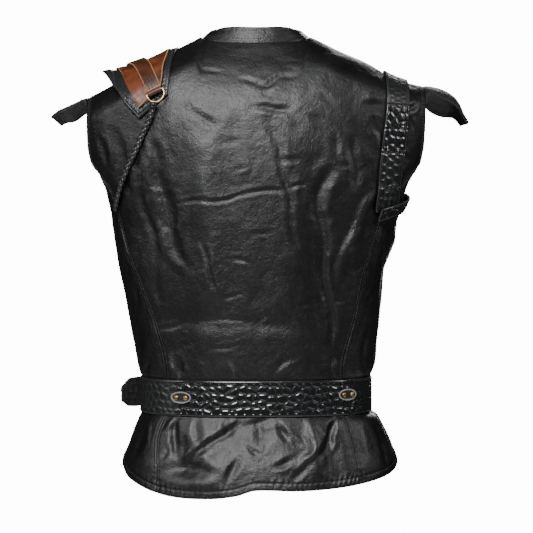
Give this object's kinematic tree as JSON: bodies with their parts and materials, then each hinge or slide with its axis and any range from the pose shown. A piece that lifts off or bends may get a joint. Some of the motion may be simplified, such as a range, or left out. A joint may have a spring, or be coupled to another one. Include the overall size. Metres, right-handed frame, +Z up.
{
  "type": "leather vest",
  "caption": "Sleeveless leather vest with stand collar, shoulder wings, a flap and braid on the left shoulder, an embossed harness strap on the right and a cinching belt.",
  "frame": {"origin": "on the wearer's centre line, midway between the side neck points, where the shoulders carry the vest", "axes": "+Z up, +X to the wearer's left, +Y to the wearer's back"},
  "size_m": [0.616, 0.2744, 0.6738],
  "materials": {
    "black_leather": "soft grained garment leather with a low cool sheen",
    "embossed_leather": "glossy reptile-embossed leather",
    "brown_leather": "rubbed reddish-brown leather with pale cut edges",
    "brass": "dark antique brass"
  },
  "bodies": {
    "root": {"back_panel": "black_leather", "side_panel_left": "black_leather", "side_panel_right": "black_leather", "front_left": "black_leather", "front_right": "black_leather", "collar": "black_leather", "wing_left": "black_leather", "wing_right": "black_leather", "shoulder_base_left": "black_leather", "shoulder_overlay_left": "brown_leather", "shoulder_strap_left": "brown_leather", "ring_loop_left": "brown_leather", "d_ring_left": "brass", "braided_cord_left": "black_leather", "harness_strap_right": "embossed_leather", "underarm_strap_right": "embossed_leather", "belt_back": "embossed_leather", "belt_left": "embossed_leather", "belt_right": "embossed_leather", "belt_keeper": "embossed_leather", "belt_buckle_frame": "brass", "belt_buckle_prong": "brass", "rivet_patch_left": "black_leather", "rivet_patch_right": "black_leather", "rivet_left_inner": "brass", "rivet_left_outer": "brass", "rivet_right_inner": "brass", "rivet_right_outer": "brass"}
  },
  "joints": []
}
